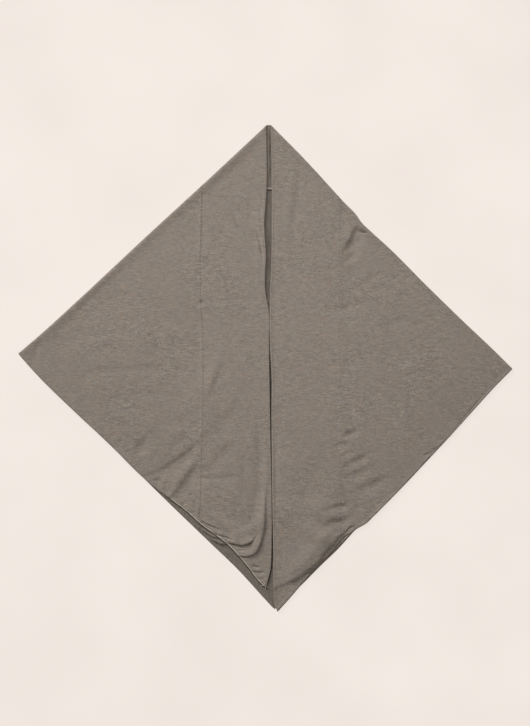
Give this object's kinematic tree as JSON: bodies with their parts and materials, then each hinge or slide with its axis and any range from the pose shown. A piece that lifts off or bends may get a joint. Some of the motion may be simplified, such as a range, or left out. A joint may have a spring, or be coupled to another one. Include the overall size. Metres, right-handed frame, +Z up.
{
  "type": "jersey hijab",
  "caption": "Large triangular knitted jersey hijab with a band along its long edge, laid flat and folded to a diamond of two layers.",
  "frame": {"origin": "centre of the bounding box, on the plane that the cloth lies on", "axes": "+Z up out of the table; +Y from the diamond's point to its apex, where both folds meet; +X to the right seen from above"},
  "size_m": [0.9186, 0.9049, 0.0104],
  "materials": {
    "main_jersey": "matt fine-gauge knit, warm taupe, with faint lengthwise streaks",
    "band_jersey": "matt fine-gauge knit, warm taupe, with faint lengthwise streaks"
  },
  "bodies": {
    "root": {"main_panel": "main_jersey", "band_panel": "band_jersey"}
  },
  "joints": []
}
